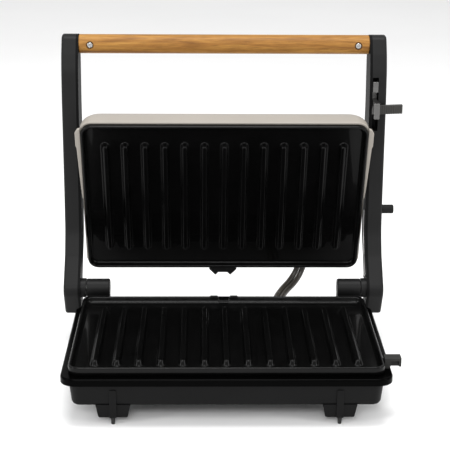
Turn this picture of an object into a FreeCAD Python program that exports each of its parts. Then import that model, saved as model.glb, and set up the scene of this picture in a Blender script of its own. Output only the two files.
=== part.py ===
"""Two-slice panini press, standing open on its four feet.

X runs to the right, Y to the back and Z up, in millimetres. The origin is on the
floor under the middle of the base. The lid is drawn shut in its own frame, with its
origin on the pivot axis, and is then swung to the open rest position.
"""
import FreeCAD, Part
import math
import os

import Sketcher
from FreeCAD import Placement, Rotation, Vector

os.makedirs("parts", exist_ok=True)
doc = FreeCAD.newDocument("PaniniPress")

# ---------------------------------------------------------------- dimensions
DIMENSIONS = {
    # base
    "stud_height": 5.3,
    "foot_height": 9.2,
    "housing_floor": 14.5,
    "housing_top": 38.0,
    "housing_wall": 2.5,
    "bezel_bottom": 34.5,
    "bezel_top": 40.0,
    "bezel_half_width": 124.7,
    "rim_level": 46.5,
    # grill plates
    "plate_half_width": 119.0,
    "plate_length": 147.0,
    "plate_thickness": 6.5,
    "well_depth": 4.5,
    "plate_rim": 2.6,
    "ridge_pitch": 16.6,
    "ridge_count": 13,
    "ridge_length": 112.0,
    "ridge_width": 6.6,
    "ridge_height": 4.3,
    # hinge between the base and the arms
    "hinge_back": 80.5,
    "hinge_level": 50.2,
    "barrel_radius": 7.8,
    "hinge_pin_radius": 3.0,
    "running_gap": 0.05,
    # arms and handle
    "arm_inside": 122.2,
    "arm_outside": 136.5,
    "arm_cover_thickness": 2.3,
    "handle_back": 126.0,
    "handle_level": 252.4,
    "handle_radius": 8.0,
    "spigot_radius": 4.5,
    # pivot between the arms and the lid
    "pivot_back": 122.2,
    "pivot_level": 150.8,
    "pivot_pin_radius": 4.0,
    "lid_open_angle": 71.0,
    # lid, from the pivot axis
    "lid_rim_drop": 28.0,
    "lid_front": 53.8,
    "cover_rim": 24.2,
    # latch
    "slot_width": 5.2,
    "slot_start": 124.6,
}

sheet = doc.addObject("Spreadsheet::Sheet", "Dimensions")
for row, (alias, value) in enumerate(DIMENSIONS.items(), start=1):
    sheet.set(f"A{row}", alias)
    sheet.set(f"B{row}", str(value))
    sheet.setAlias(f"B{row}", alias)
doc.recompute()


def dim(alias):
    """Value of one named dimension."""
    return float(DIMENSIONS[alias])


def term(alias):
    """Expression text for one named dimension."""
    return f"Dimensions.{alias}"


# ---------------------------------------------------------------- helpers
NODES = []


def new_body(label):
    body = doc.addObject("PartDesign::Body", label)
    body.Label = label
    NODES.append(body)
    return body


def new_sketch(body, role, offset=0.0, offset_term=None):
    """Empty sketch parallel to one of the body's origin planes.

    The normal is +Z for XY_Plane, -Y for XZ_Plane and +X for YZ_Plane.
    """
    plane = next(f for f in body.Origin.OriginFeatures if f.Role == role)
    sketch = body.newObject("Sketcher::SketchObject", body.Label + "_sketch")
    sketch.AttachmentSupport = (plane, [""])
    sketch.MapMode = "FlatFace"
    sketch.AttachmentOffset = Placement(Vector(0, 0, offset), Rotation())
    if offset_term:
        sketch.setExpression("AttachmentOffset.Base.z", offset_term)
    return sketch


def draw_block(sketch, half_width, low, high, radius, width_term=None):
    """Rectangle with rounded corners, centred in the sketch's first direction."""
    r, w = radius, half_width
    line = lambda a, b: Part.LineSegment(Vector(*a, 0), Vector(*b, 0))
    arc = lambda cx, cy, a: Part.ArcOfCircle(
        Part.Circle(Vector(cx, cy, 0), Vector(0, 0, 1), r),
        math.radians(a),
        math.radians(a + 90),
    )
    sketch.addGeometry(
        [
            line((-w + r, low), (w - r, low)),
            arc(w - r, low + r, 270),
            line((w, low + r), (w, high - r)),
            arc(w - r, high - r, 0),
            line((w - r, high), (-w + r, high)),
            arc(-w + r, high - r, 90),
            line((-w, high - r), (-w, low + r)),
            arc(-w + r, low + r, 180),
        ],
        False,
    )
    rules = [Sketcher.Constraint("Tangent", i, 2, (i + 1) % 8, 1) for i in range(8)]
    rules += [Sketcher.Constraint("Horizontal", i) for i in (0, 4)]
    rules += [Sketcher.Constraint("Vertical", i) for i in (2, 6)]
    rules += [Sketcher.Constraint("Equal", 1, i) for i in (3, 5, 7)]
    rules.append(Sketcher.Constraint("Radius", 1, r))
    rules.append(Sketcher.Constraint("DistanceY", 0, 1, 4, 1, high - low))
    rules.append(Sketcher.Constraint("DistanceX", 6, 1, -1, 1, w))
    sketch.addConstraint(rules)
    width = sketch.addConstraint(Sketcher.Constraint("DistanceX", 6, 1, 2, 1, 2 * w))
    sketch.addConstraint(Sketcher.Constraint("DistanceY", -1, 1, 0, 1, low))
    if width_term:
        sketch.renameConstraint(width, "Width")
        sketch.renameConstraint(width - 1, "HalfWidth")
        sketch.setExpression("Constraints.Width", f"2 * ({width_term})")
        sketch.setExpression("Constraints.HalfWidth", width_term)
    return sketch


def draw_outline(sketch, corners):
    """Closed outline through (u, v, radius) corners, each rounded by its radius."""
    joints = []
    for i, (u, v, radius) in enumerate(corners):
        here = Vector(u, v, 0)
        before = Vector(*corners[i - 1][:2], 0) - here
        after = Vector(*corners[(i + 1) % len(corners)][:2], 0) - here
        half = before.getAngle(after) / 2
        if radius <= 0:
            joints.append((here, None, here))
            continue
        before.normalize()
        after.normalize()
        reach = radius / math.tan(half)
        inward = (before + after).normalize()
        middle = here + inward * (radius / math.sin(half) - radius)
        joints.append((here + before * reach, middle, here + after * reach))
    edges = []
    for i, (start, middle, end) in enumerate(joints):
        if middle is not None:
            edges.append(Part.Arc(start, middle, end))
        following = joints[(i + 1) % len(joints)][0]
        if end.distanceToPoint(following) > 1e-6:
            edges.append(Part.LineSegment(end, following))
    sketch.addGeometry(edges, False)
    return sketch


def extrude(kind, body, sketch, length, length_term=None, reverse=False):
    feature = body.newObject("PartDesign::" + kind, body.Label + "_" + kind.lower())
    feature.Profile = sketch
    feature.Length = length
    feature.Reversed = reverse
    if length_term:
        feature.setExpression("Length", length_term)
    sketch.Visibility = False
    return feature


def pad(body, sketch, length, length_term=None, reverse=False):
    return extrude("Pad", body, sketch, length, length_term, reverse)


def cut(body, sketch, length, length_term=None, reverse=False):
    """Pocket along minus the sketch normal, or along it with reverse."""
    doc.recompute()
    before = body.Shape.Volume
    feature = extrude("Pocket", body, sketch, length, length_term, reverse)
    doc.recompute()
    if not body.Shape.Volume < before - 1e-3:
        raise RuntimeError(f"{body.Label}: a cut removes nothing")
    return feature


def loft(kind, body, sketches, ruled=True):
    feature = body.newObject("PartDesign::" + kind, body.Label + "_loft")
    feature.Profile = sketches[0]
    feature.Sections = sketches[1:]
    feature.Ruled = ruled
    return feature


def soften(body, chosen, radius):
    """Round the body's edges that the chosen test accepts."""
    doc.recompute()
    tip = body.Tip
    names = [f"Edge{i + 1}" for i, edge in enumerate(body.Shape.Edges) if chosen(edge.BoundBox)]
    feature = body.newObject("PartDesign::Fillet", body.Label + "_rounding")
    feature.Base = (tip, names)
    feature.Radius = radius
    doc.recompute()
    if feature.Shape.isNull() or not feature.Shape.isValid():
        raise RuntimeError(f"{body.Label}: the rounding fails")
    return feature


def block(label, x, y, z):
    """Part::Box between three pairs of limits."""
    box = doc.addObject("Part::Box", label)
    box.Length, box.Width, box.Height = x[1] - x[0], y[1] - y[0], z[1] - z[0]
    box.Placement.Base = Vector(x[0], y[0], z[0])
    return box


def rod(label, radius, start, end, radius_term=None):
    """Part::Cylinder from one point to another."""
    axis = Vector(*end) - Vector(*start)
    cylinder = doc.addObject("Part::Cylinder", label)
    cylinder.Radius, cylinder.Height = radius, axis.Length
    cylinder.Placement = Placement(Vector(*start), Rotation(Vector(0, 0, 1), axis))
    if radius_term:
        cylinder.setExpression("Radius", radius_term)
    return cylinder


def fuse(label, *shapes):
    union = doc.addObject("Part::MultiFuse", label)
    union.Shapes = list(shapes)
    union.Refine = True
    return union


def subtract(label, base, tool):
    result = doc.addObject("Part::Cut", label)
    result.Base, result.Tool = base, tool
    result.Refine = True
    return result


def node(feature, label):
    feature.Label = label
    NODES.append(feature)
    return feature


def tube(points, radius):
    """Round tube along straight runs joined by tangent arcs, as (x, y, z, bend)."""
    edges, last = [], None
    for i, (x, y, z, bend) in enumerate(points):
        here = Vector(x, y, z)
        if 0 < i < len(points) - 1:
            before = (Vector(*points[i - 1][:3]) - here).normalize()
            after = (Vector(*points[i + 1][:3]) - here).normalize()
            half = before.getAngle(after) / 2
            reach = bend / math.tan(half)
            start, end = here + before * reach, here + after * reach
            inward = (before + after).normalize()
            middle = here + inward * (bend / math.sin(half) - bend)
            edges.append(Part.makeLine(last, start))
            edges.append(Part.Arc(start, middle, end).toShape())
            last = end
        elif i:
            edges.append(Part.makeLine(last, here))
        else:
            last = here
    wire = Part.Wire(edges)
    direction = Vector(*points[1][:3]) - Vector(*points[0][:3])
    section = Part.Wire([Part.makeCircle(radius, Vector(*points[0][:3]), direction)])
    solid = wire.makePipeShell([section], True, True)
    expected = math.pi * radius**2 * wire.Length
    if abs(solid.Volume - expected) > 0.01 * expected:
        raise RuntimeError("a tube's volume differs from its section times its length")
    return solid


def shape_node(label, shape):
    feature = doc.addObject("Part::Feature", label)
    feature.Shape = shape
    return node(feature, label)


MIRROR = (-1, 1)


# ---------------------------------------------------------------- base housing
floor_level, housing_top = dim("housing_floor"), dim("housing_top")

housing = doc.addObject("PartDesign::Body", "base_housing_body")
HOUSING_OUTSIDE = [  # level, its expression, half width, front, back, corner
    (floor_level, term("housing_floor"), 114.7, -73.0, 81.0, 4.8),
    (floor_level + 0.8, None, 116.1, -74.4, 82.4, 6.0),
    (floor_level + 2.6, None, 117.1, -75.4, 83.4, 6.8),
    (housing_top, term("housing_top"), 119.3, -77.5, 85.5, 8.0),
]
HOUSING_INSIDE = [
    (floor_level + dim("housing_wall"), None, 114.3, -72.5, 80.5, 4.8),
    (housing_top, term("housing_top"), 116.8, -75.0, 83.0, 6.0),
]
for kind, levels in (("AdditiveLoft", HOUSING_OUTSIDE), ("SubtractiveLoft", HOUSING_INSIDE)):
    sections = [
        draw_block(new_sketch(housing, "XY_Plane", level, level_term), half, front, back, corner)
        for level, level_term, half, front, back, corner in levels
    ]
    loft(kind, housing, sections)
    doc.recompute()

# four hollow-looking legs, narrower at the floor, the front pair with a rib
FOOT_X, FOOT_TOP, FOOT_BOTTOM = 85.6, 13.2, 11.0
for front, back in ((-75.6, -57.6), (64.0, 82.0)):
    for side in MIRROR:
        legs = new_sketch(housing, "XZ_Plane", -front)
        draw_outline(
            legs,
            [
                (side * FOOT_X - FOOT_BOTTOM, dim("stud_height"), 1.5),
                (side * FOOT_X + FOOT_BOTTOM, dim("stud_height"), 1.5),
                (side * FOOT_X + FOOT_TOP, floor_level + 1.0, 0),
                (side * FOOT_X - FOOT_TOP, floor_level + 1.0, 0),
            ],
        )
        pad(housing, legs, back - front, reverse=True)
for side in MIRROR:
    rib = new_sketch(housing, "XZ_Plane", 77.2)
    draw_outline(
        rib,
        [
            (side * FOOT_X - 2.6, dim("stud_height"), 0),
            (side * FOOT_X + 2.6, dim("stud_height"), 0),
            (side * FOOT_X + 2.6, 28.0, 1.0),
            (side * FOOT_X - 2.6, 28.0, 1.0),
        ],
    )
    pad(housing, rib, 3.0, reverse=True)
# air slots through the floor
for index in range(5):
    slot = new_sketch(housing, "XY_Plane", floor_level)
    left = -44.0 + 20.0 * index
    draw_outline(slot, [(left, -20, 2), (left + 4.2, -20, 2), (left + 4.2, 30, 2), (left, 30, 2)])
    cut(housing, slot, 3.0, reverse=True)
doc.recompute()

# small studs the feet stand on
STUD_BACKS = (-75.4, 78.0)
studs = []
for back in STUD_BACKS:
    for side in MIRROR:
        stud = doc.addObject("Part::Cone", "foot_stud")
        stud.Radius1, stud.Radius2 = 1.4, 1.75
        stud.setExpression("Height", term("stud_height"))
        stud.Placement.Base = Vector(side * FOOT_X, back, 0)
        studs.append(stud)
stud_group = doc.addObject("Part::Compound", "foot_studs")
stud_group.Links = studs
node(stud_group, "foot_studs")


# ---------------------------------------------------------------- bezel
def bezel_outline(inset, rear_half, rear):
    """Wide beside the plate, narrower behind it where the arms pass."""
    w, front, step = dim("bezel_half_width") - inset, -84.0 + inset, 58.0 - inset
    r = 12.0 - inset
    return [
        (-w, front, r),
        (w, front, r),
        (w, step, 4),
        (rear_half, step + 5.0, 3),
        (rear_half, rear, 6),
        (-rear_half, rear, 6),
        (-rear_half, step + 5.0, 3),
        (-w, step, 4),
    ]


bezel = doc.addObject("PartDesign::Body", "tray_bezel_body")
bezel_top, bezel_bottom = dim("bezel_top"), dim("bezel_bottom")
edge_sketch = new_sketch(bezel, "XY_Plane", bezel_bottom, term("bezel_bottom"))
draw_outline(edge_sketch, bezel_outline(0, 120.9, 87.4))
pad(bezel, edge_sketch, bezel_top - bezel_bottom, f"{term('bezel_top')} - {term('bezel_bottom')}")
soften(bezel, lambda box: box.ZMin > bezel_top - 0.01, 1.6)
under = new_sketch(bezel, "XY_Plane", bezel_bottom)
draw_outline(under, bezel_outline(2.4, 119.5, 85.7))
cut(bezel, under, housing_top - bezel_bottom, reverse=True)
opening = new_sketch(bezel, "XY_Plane", bezel_top)
draw_block(opening, 95.0, -67.0, 62.0, 6)
cut(bezel, opening, 6.0)


# ---------------------------------------------------------------- grill plates
def grill_plate(label, half_width, front, back, top, ridge_front, corner, facing=1):
    """Cast pan with a rim and tapered ridges; facing 1 looks up, -1 looks down.

    top is the level of the rim's face, front and back its limits along Y.
    """
    body = new_body(label)
    rim, well = dim("plate_rim"), dim("well_depth")
    base = top - facing * dim("plate_thickness")
    slab = draw_block(new_sketch(body, "XY_Plane", base), half_width, front, back, corner)
    pad(body, slab, dim("plate_thickness"), term("plate_thickness"), reverse=facing < 0)
    well_sketch = new_sketch(body, "XY_Plane", top)
    draw_block(well_sketch, half_width - rim, front + rim, back - rim, corner - 2.5)
    cut(body, well_sketch, well, term("well_depth"), reverse=facing < 0)
    ground = top - facing * well
    pitch, half = dim("ridge_pitch"), dim("ridge_width") / 2
    first = -pitch * (dim("ridge_count") - 1) / 2
    ridge_back = ridge_front + dim("ridge_length")
    foot = new_sketch(body, "XY_Plane", ground)
    crest = new_sketch(body, "XY_Plane", ground + facing * dim("ridge_height"))
    for sketch, shrink, ends, r in ((foot, 0.0, 0.0, 2.9), (crest, 1.3, 2.6, 1.9)):
        left, right = first - half + shrink, first + half - shrink
        low, high = ridge_front + ends, ridge_back - ends
        draw_outline(sketch, [(left, low, r), (right, low, r), (right, high, r), (left, high, r)])
    ridge = loft("AdditiveLoft", body, [foot, crest])
    doc.recompute()
    row = body.newObject("PartDesign::LinearPattern", label + "_ridges")
    row.Originals = [ridge]
    row.Direction = (new_sketch(body, "XY_Plane", ground), ["H_Axis"])
    row.setExpression("Occurrences", term("ridge_count"))
    row.setExpression("Length", f"{term('ridge_pitch')} * ({term('ridge_count')} - 1)")
    body.Tip = row
    doc.recompute()
    return body


rim_level = dim("rim_level")
LOWER_FRONT, LOWER_BACK = -77.0, 70.0
lower_plate = grill_plate(
    "lower_grill_plate", dim("plate_half_width"), LOWER_FRONT, LOWER_BACK, rim_level, -64.0, 8.0
)
# the back rim carries two prongs with a drain notch between them
for side in MIRROR:
    prong = new_sketch(lower_plate, "XY_Plane", rim_level - 1.0)
    draw_outline(
        prong,
        [
            (side * 8.3 - 3.1, LOWER_BACK - 2.6, 0.8),
            (side * 8.3 + 3.1, LOWER_BACK - 2.6, 0.8),
            (side * 8.3 + 3.1, LOWER_BACK, 0.8),
            (side * 8.3 - 3.1, LOWER_BACK, 0.8),
        ],
    )
    pad(lower_plate, prong, 1.8)
notch = new_sketch(lower_plate, "XZ_Plane", -LOWER_BACK - 1.0)
draw_outline(notch, [(-4.0, 43.6, 0.8), (4.0, 43.6, 0.8), (4.6, 50, 0), (-4.6, 50, 0)])
cut(lower_plate, notch, 4.5, reverse=True)
doc.recompute()

# ---------------------------------------------------------------- heating parts
def element_path(half, front, back, level, bend=18.0):
    return [
        (-half, back, level, 0),
        (-half, front, level, bend),
        (half, front, level, bend),
        (half, back, level, 0),
    ]


ELEMENT_RADIUS = 3.2
SHEET = 0.8
CONTACT = 0.02  # left between pieces that touch
element_level = bezel_top - ELEMENT_RADIUS - CONTACT
shape_node("lower_element", tube(element_path(84.0, -52.0, 46.0, element_level), ELEMENT_RADIUS))


def tray_sheet(label, half_width, front, back, low, high, opens_up=True):
    """Thin sheet pan with turned-up edges."""
    body = new_body(label)
    closed, mouth = (low, high) if opens_up else (high, low)
    outside = draw_block(new_sketch(body, "XY_Plane", closed), half_width, front, back, 6)
    pad(body, outside, high - low, reverse=not opens_up)
    inside = new_sketch(body, "XY_Plane", mouth)
    draw_block(inside, half_width - SHEET, front + SHEET, back - SHEET, 6 - SHEET)
    cut(body, inside, high - low - SHEET, reverse=not opens_up)
    return body


tray_sheet("lower_reflector", 94.0, -66.0, 60.0, 29.0, bezel_top - CONTACT)
node(
    fuse(
        "thermostat",
        rod("thermostat_can", 8.0, (0, 8, 30.2), (0, 8, 39.9)),
        block("thermostat_tab", (-11.5, 11.5), (5, 11), (38.4, 39.9)),
    ),
    "thermostat",
)
node(
    subtract(
        "terminal_block",
        block("terminal_body", (-62, -30), (64.5, 76.5), (17.0, 27.0)),
        fuse(
            "terminal_holes",
            rod("terminal_hole_a", 2.0, (-56, 70, 20), (-56, 70, 28)),
            rod("terminal_hole_b", 2.0, (-46, 70, 20), (-46, 70, 28)),
            rod("terminal_hole_c", 2.0, (-36, 70, 20), (-36, 70, 28)),
        ),
    ),
    "terminal_block",
)

# ---------------------------------------------------------------- hinge
hinge_back, hinge_level = dim("hinge_back"), dim("hinge_level")
BARREL_IN, BARREL_OUT = 97.3, 117.0
for side, name in ((-1, "left"), (1, "right")):
    ends = sorted((side * BARREL_IN, side * BARREL_OUT))
    barrel = rod(
        "barrel_round",
        dim("barrel_radius"),
        (ends[0], hinge_back, hinge_level),
        (ends[1], hinge_back, hinge_level),
        term("barrel_radius"),
    )
    pedestal = block("barrel_pedestal", ends, (74.2, 86.0), (dim("bezel_top"), hinge_level))
    bore = rod(
        "barrel_bore",
        dim("hinge_pin_radius"),
        (side * (BARREL_IN + 4.0), hinge_back, hinge_level),
        (side * (BARREL_OUT + 1.0), hinge_back, hinge_level),
        term("hinge_pin_radius"),
    )
    label = "hinge_barrel_" + name
    node(subtract(label, fuse("barrel_solid", barrel, pedestal), bore), label)
hinge_pins = doc.addObject("Part::Compound", "hinge_pins")
hinge_pins.Links = [
    rod(
        "hinge_pin",
        dim("hinge_pin_radius"),
        (side * (BARREL_IN + 4.0), hinge_back, hinge_level),
        (side * 132.0, hinge_back, hinge_level),
        term("hinge_pin_radius"),
    )
    for side in MIRROR
]
node(hinge_pins, "hinge_pins")

# ---------------------------------------------------------------- latch catch, glands, screws
node(
    subtract(
        "latch_catch",
        fuse(
            "catch_solid",
            block("catch_root", (119.9, 123.2), (-64.0, -55.4), (dim("bezel_top"), 48.1)),
            block("catch_lip", (119.9, 132.2), (-64.0, -55.4), (41.5, 48.1)),
        ),
        block("catch_recess", (124.2, 133.0), (-65.0, -57.2), (41.0, 45.4)),
    ),
    "latch_catch",
)



def lead_bush(label, x, wall, z):
    """Moulded grommet for the two-strand lead, its collar against the wall at Y = wall."""
    collar = block("collar", (x - 8, x + 8), (wall - 0.1, wall + 3.0), (z - 5, z + 5))
    neck = block(
        "neck",
        (x - 6 + CONTACT, x + 6 - CONTACT),
        (wall - 6.0, wall),
        (z - 3.6 + CONTACT, z + 3.6 - CONTACT),
    )
    passage = block("passage", (x - 5.2, x + 5.2), (wall - 8, wall + 5), (z - 2.9, z + 2.9))
    return node(subtract(label, fuse(label + "_solid", collar, neck), passage), label)


INLET_X, INLET_Z = -46.0, 25.0
LEAD_X, LEAD_Z = 45.0, 24.5
node(
    subtract(
        "mains_inlet_bush",
        fuse(
            "mains_bush_solid",
            rod("mains_bush_collar", 7.5, (INLET_X, 85.1, INLET_Z), (INLET_X, 89.5, INLET_Z)),
            rod("mains_bush_neck", 5.5 - CONTACT, (INLET_X, 79.0, INLET_Z), (INLET_X, 85.4, INLET_Z)),
        ),
        rod("mains_bush_bore", 3.4, (INLET_X, 78.0, INLET_Z), (INLET_X, 90.0, INLET_Z)),
    ),
    "mains_inlet_bush",
)
lead_bush("base_lead_bush", LEAD_X, 85.3, LEAD_Z)
rear_holes = [
    rod("mains_hole", 5.5, (INLET_X, 78.0, INLET_Z), (INLET_X, 90.0, INLET_Z)),
    block("lead_hole", (LEAD_X - 6, LEAD_X + 6), (78.0, 90.0), (LEAD_Z - 3.6, LEAD_Z + 3.6)),
]


def upright(label, radius, low, high):
    """One rod at each of the four screws that hold the housing to the bezel."""
    return [rod(label, radius, (x, y, low), (x, y, high)) for x in (-100, 100) for y in (-40, 48)]


SEAT_LEVEL, SCREW_TIP = floor_level + 2.2, housing_top + 1.2
housing_holes = upright("screw_hole", 1.6, 10, housing_top + 1) + upright("screw_seat", 3.2, 10, SEAT_LEVEL)
node(
    subtract(
        "base_housing",
        fuse("base_housing_bosses", housing, *upright("screw_boss", 4.0, floor_level + 1, housing_top)),
        fuse("base_housing_holes", *housing_holes, *rear_holes),
    ),
    "base_housing",
)
bezel_holes = fuse("bezel_holes", *upright("bezel_hole", 1.55, housing_top - 1, SCREW_TIP))
node(subtract("tray_bezel", bezel, bezel_holes), "tray_bezel")
screws = doc.addObject("Part::Compound", "housing_screws")
screws.Links = [
    fuse("housing_screw", head, shank)
    for head, shank in zip(
        upright("screw_head", 3.0, floor_level + 0.2, SEAT_LEVEL),
        upright("screw_shank", 1.55, SEAT_LEVEL - 0.2, SCREW_TIP),
    )
]
node(screws, "housing_screws")

# ---------------------------------------------------------------- arms
# side view (Y, Z, bend), front edge upwards, then down the back edge
ARM_SIDE = [
    (82.0, 25.8, 3.0),
    (68.6, 50.6, 10.0),
    (91.6, 76.6, 22.0),
    (99.8, 95.0, 40.0),
    (102.6, 125.0, 200.0),
    (106.4, 205.0, 90.0),
    (109.6, 232.0, 40.0),
    (114.0, 246.0, 12.0),
    (122.0, 260.4, 7.0),
    (136.5, 260.4, 9.0),
    (137.5, 238.0, 30.0),
    (134.0, 205.0, 90.0),
    (133.6, 138.0, 30.0),
    (126.5, 112.0, 40.0),
    (122.0, 86.0, 26.0),
    (104.0, 64.0, 24.0),
    (94.5, 48.0, 14.0),
    (95.0, 25.8, 3.0),
]
arm_inside, arm_outside = dim("arm_inside"), dim("arm_outside")
cover_seam = arm_inside + dim("arm_cover_thickness")
pivot_back, pivot_level = dim("pivot_back"), dim("pivot_level")
handle_back, handle_level = dim("handle_back"), dim("handle_level")
gap = dim("running_gap")
SLOT_START, SLOT_END = dim("slot_start"), dim("slot_start") + dim("slot_width")


def arm_slab(label, low, high, low_term, length_term, side):
    """Arm profile between two distances from the middle, on one side."""
    body = doc.addObject("PartDesign::Body", label)
    offset = low if side > 0 else -high
    offset_term = low_term if side > 0 else f"-({low_term} + {length_term})"
    sketch = new_sketch(body, "YZ_Plane", offset, offset_term)
    draw_outline(sketch, ARM_SIDE)
    pad(body, sketch, high - low, length_term)
    doc.recompute()
    return body


HINGE_AXIS, PIVOT_AXIS = (hinge_back, hinge_level), (pivot_back, pivot_level)
HANDLE_AXIS = (handle_back, handle_level)
HINGE_BORE, PIVOT_PIN = dim("hinge_pin_radius") + gap, dim("pivot_pin_radius")
SPIGOT = dim("spigot_radius")
for side, name in ((-1, "left"), (1, "right")):

    def across(label, radius, start, end, axis):
        """Rod along X on this side, from start to end away from the middle."""
        return rod(label, radius, (side * start, *axis), (side * end, *axis))

    shell = arm_slab(
        f"arm_{name}_slab",
        cover_seam,
        arm_outside,
        f"{term('arm_inside')} + {term('arm_cover_thickness')}",
        f"{term('arm_outside')} - {term('arm_inside')} - {term('arm_cover_thickness')}",
        side,
    )
    outside = side * arm_outside
    soften(shell, lambda box: max(abs(box.XMin - outside), abs(box.XMax - outside)) < 0.01, 2.2)
    solid = fuse(
        f"arm_{name}_solid",
        shell,
        across("hinge_boss", 8.2, 117.6, cover_seam + 1, HINGE_AXIS),
        across("handle_spigot", SPIGOT, 107.0, cover_seam + 1, HANDLE_AXIS),
    )
    bores = [
        across("hinge_bore", HINGE_BORE, 117.0, 132.4, HINGE_AXIS),
        across("pivot_bore", PIVOT_PIN + CONTACT, cover_seam - 1, 132.0, PIVOT_AXIS),
        rod(
            "spigot_screw_bore",
            1.5,
            (side * 112.6, handle_back - 8, handle_level),
            (side * 112.6, handle_back + 3, handle_level),
        ),
    ]
    if side > 0:
        bores.append(block("latch_slot", (SLOT_START, SLOT_END), (96.0, 119.4), (182.5, 227.5)))
    node(subtract(f"arm_{name}", solid, fuse(f"arm_{name}_bores", *bores)), f"arm_{name}")

    inner = arm_slab(
        f"arm_{name}_inner_slab",
        arm_inside,
        cover_seam,
        term("arm_inside"),
        term("arm_cover_thickness"),
        side,
    )
    passages = fuse(
        f"arm_{name}_passages",
        across("boss_passage", 8.2, arm_inside - 1, cover_seam + 1, HINGE_AXIS),
        across("spigot_passage", SPIGOT, arm_inside - 1, cover_seam + 1, HANDLE_AXIS),
        across("pin_passage", PIVOT_PIN + CONTACT, arm_inside - 1, cover_seam + 1, PIVOT_AXIS),
    )
    node(subtract(f"arm_inner_cover_{name}", inner, passages), f"arm_inner_cover_{name}")

pivot_pins = doc.addObject("Part::Compound", "lid_pivot_pins")
pivot_pins.Links = [
    rod(
        "lid_pivot_pin",
        dim("pivot_pin_radius"),
        (side * 98.5, pivot_back, pivot_level),
        (side * 132.0, pivot_back, pivot_level),
        term("pivot_pin_radius"),
    )
    for side in MIRROR
]
node(pivot_pins, "lid_pivot_pins")

# ---------------------------------------------------------------- handle
bar_end = arm_inside - 0.1
bar = rod(
    "bar_round",
    dim("handle_radius"),
    (-bar_end, handle_back, handle_level),
    (bar_end, handle_back, handle_level),
    term("handle_radius"),
)


def from_front(label, radius, start, end):
    """Pair of rods into the bar from the front, start and end measured from its axis."""
    return [
        rod(label, radius, (side * 112.6, handle_back - start, handle_level),
            (side * 112.6, handle_back - end, handle_level))
        for side in MIRROR
    ]


spigot_bores = [
    rod("spigot_bore", SPIGOT + 0.1, (side * (bar_end + 1), *HANDLE_AXIS), (side * 106.5, *HANDLE_AXIS))
    for side in MIRROR
]
bar_screw_holes = from_front("bar_screw_seat", 3.0, 9.0, 6.2) + from_front("bar_screw_hole", 1.6, 9.0, 0.0)
node(subtract("handle_bar", bar, fuse("bar_bores", *spigot_bores, *bar_screw_holes)), "handle_bar")
handle_screws = doc.addObject("Part::Compound", "handle_screws")
handle_screws.Links = [
    fuse("handle_screw", head, shank)
    for head, shank in zip(
        from_front("handle_screw_head", 2.45, 7.9, 6.2),
        from_front("handle_screw_shank", 1.45, 6.4, -2.5),
    )
]
node(handle_screws, "handle_screws")

# ---------------------------------------------------------------- latch on the right arm
node(
    fuse(
        "latch_slider",
        block("slider_strip", (125.0, 129.4), (115.0, 118.8), (194.5, 224.0)),
        block("slider_end", (125.0, 129.4), (107.6, 115.5), (215.0, 224.0)),
        block("slider_hook_shank", (125.0, 129.4), (94.0, 115.5), (203.8, 208.6)),
        block("slider_hook_nose", (125.0, 129.4), (94.0, 96.4), (195.2, 204.5)),
    ),
    "latch_slider",
)
lever = new_body("latch_lever")
lever_sketch = new_sketch(lever, "XZ_Plane", -101.6)
draw_outline(
    lever_sketch,
    [(129.42, 197.6, 0.6), (149.6, 198.4, 1.4), (149.6, 205.8, 1.4), (129.42, 205.0, 0.6)],
)
pad(lever, lever_sketch, 4.0, reverse=True)

# small peg on the outside of the right arm, and the stay wire inside it
node(rod("arm_peg", 3.9, (arm_outside, 114.0, 110.6), (147.7, 114.0, 110.6)), "arm_peg")
WIRE_X = 121.5
wire = doc.addObject("Part::Feature", "stay_wire_round")
wire.Shape = tube(
    [(WIRE_X, 83.6, 60.4, 0), (WIRE_X, 96.5, 75.5, 16), (WIRE_X, 105.2, 93.5, 24), (WIRE_X, 107.0, 112.0, 0)],
    0.45,
)
ball = doc.addObject("Part::Sphere", "stay_wire_ball")
ball.Radius = 1.2
ball.Placement.Base = Vector(arm_inside - 1.22, 83.2, 59.9)
node(fuse("stay_wire", wire, ball), "stay_wire")

# ---------------------------------------------------------------- lid
# Everything below is drawn with the lid shut: front to -Y, plate facing down, and
# the pivot axis on X. lid_place swings it to the open rest position.
lid_place = Placement(
    Vector(0, pivot_back, pivot_level), Rotation(Vector(1, 0, 0), -dim("lid_open_angle"))
)
first_lid_node = len(NODES)
RIM, FRONT, BACK = -dim("lid_rim_drop"), -dim("lid_front"), 95.7
plate_top = RIM + dim("plate_thickness")
UPPER_HALF = 119.4

upper_plate = grill_plate("upper_grill_plate", UPPER_HALF, FRONT, BACK, RIM, -35.0, 9.0, facing=-1)
tab = new_sketch(upper_plate, "XY_Plane", RIM)
draw_outline(
    tab,
    [
        (-11.0, BACK - 2.0, 0),
        (11.0, BACK - 2.0, 0),
        (12.4, BACK + 1.5, 1.0),
        (6.6, BACK + 8.4, 0.8),
        (4.0, BACK + 5.2, 0.8),
        (-4.0, BACK + 5.2, 0.8),
        (-6.6, BACK + 8.4, 0.8),
        (-12.4, BACK + 1.5, 1.0),
    ],
)
pad(upper_plate, tab, 4.0)
doc.recompute()

COVER_SECTIONS = [  # level, half width, front, back, corner
    (-24.2, 120.7, -55.3, 95.9, 10.0),
    (-12.0, 119.9, -54.2, 95.5, 11.0),
    (-2.0, 117.6, -50.0, 92.5, 14.0),
    (9.0, 113.5, -41.0, 87.0, 18.0),
    (14.0, 104.0, -30.0, 77.0, 22.0),
]
COVER_WALL = 2.2


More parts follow.
